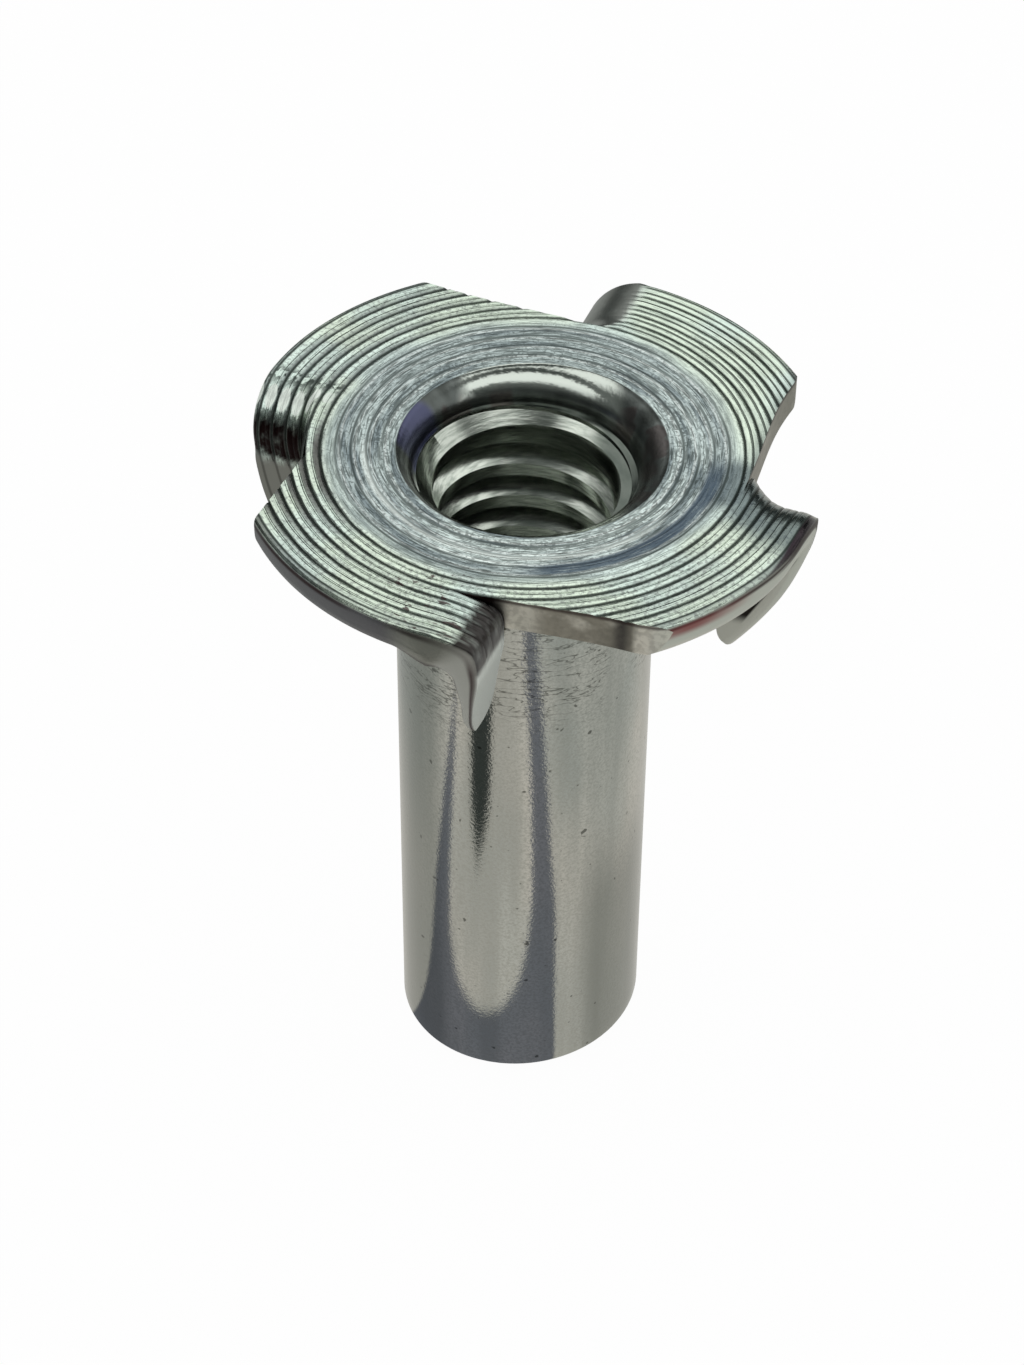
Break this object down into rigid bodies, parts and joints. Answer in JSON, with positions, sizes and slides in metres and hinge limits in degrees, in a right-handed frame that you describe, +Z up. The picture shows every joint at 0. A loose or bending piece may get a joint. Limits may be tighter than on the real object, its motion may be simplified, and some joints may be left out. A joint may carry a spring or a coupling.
{
  "type": "tee nut",
  "caption": "Pronged tee nut: a threaded barrel under a round ringed flange, whose sheared lobes are folded down into prongs that bite into wood.",
  "frame": {"origin": "on the barrel's axis, at its open end, which is the end the nut stands on", "axes": "+Z up the barrel's axis to the flange; +X and +Y lie across it, each along one lobe's fold line"},
  "size_m": [0.0176, 0.0176, 0.024],
  "materials": {
    "zinc_plate": "bright zinc plate over formed steel"
  },
  "bodies": {
    "root": {"tee_nut": "zinc_plate"}
  },
  "joints": []
}
